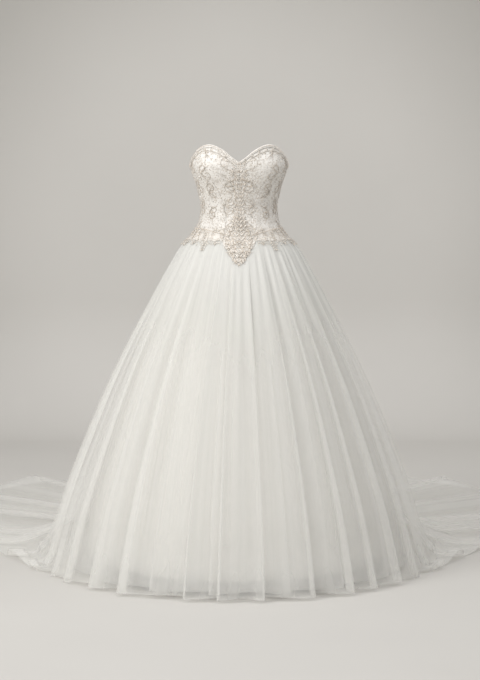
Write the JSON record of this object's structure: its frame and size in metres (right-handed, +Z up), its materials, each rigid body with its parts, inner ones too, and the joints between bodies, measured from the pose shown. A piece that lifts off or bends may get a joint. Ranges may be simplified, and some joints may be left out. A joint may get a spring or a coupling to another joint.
{
  "type": "a-line wedding dress",
  "caption": "Strapless a-line wedding dress with a beaded sweetheart bodice, a pointed drop waist, and a gathered tulle skirt over satin that runs out into a train.",
  "frame": {"origin": "centre of the natural waist, where the wearer holds the dress up", "axes": "+Z up, front of the dress towards -Y, the wearer's left towards +X, train towards +Y"},
  "size_m": [2.0524, 2.2462, 1.2713],
  "materials": {
    "ivory_satin": "ivory duchess satin with a soft sheen, under beaded lace on the bodice",
    "beaded_trim": "champagne and silver beads, bugles and sequins sewn close together on net",
    "soft_tulle": "sheer matt off-white tulle in loose layers"
  },
  "bodies": {
    "root": {"bodice_front": "ivory_satin", "bodice_side_front_left": "ivory_satin", "bodice_side_left": "ivory_satin", "bodice_back_left": "ivory_satin", "bodice_side_front_right": "ivory_satin", "bodice_side_right": "ivory_satin", "bodice_back_right": "ivory_satin", "neckline_trim": "beaded_trim", "basque_point": "beaded_trim", "hip_band_left": "beaded_trim", "hip_band_right": "beaded_trim", "placket": "ivory_satin", "button_01": "ivory_satin", "button_02": "ivory_satin", "button_03": "ivory_satin", "button_04": "ivory_satin", "button_05": "ivory_satin", "button_06": "ivory_satin", "button_07": "ivory_satin", "button_08": "ivory_satin", "button_09": "ivory_satin", "button_10": "ivory_satin", "button_11": "ivory_satin", "button_12": "ivory_satin", "satin_skirt_front": "ivory_satin", "satin_skirt_left": "ivory_satin", "satin_skirt_right": "ivory_satin", "satin_skirt_back": "ivory_satin", "under_tulle_front": "soft_tulle", "under_tulle_left": "soft_tulle", "under_tulle_right": "soft_tulle", "under_tulle_back": "soft_tulle", "outer_tulle_front": "soft_tulle", "outer_tulle_side_left": "soft_tulle", "outer_tulle_side_right": "soft_tulle", "outer_tulle_side_back_left": "soft_tulle", "outer_tulle_side_back_right": "soft_tulle", "outer_tulle_back_left": "soft_tulle", "outer_tulle_back_right": "soft_tulle"}
  },
  "joints": []
}
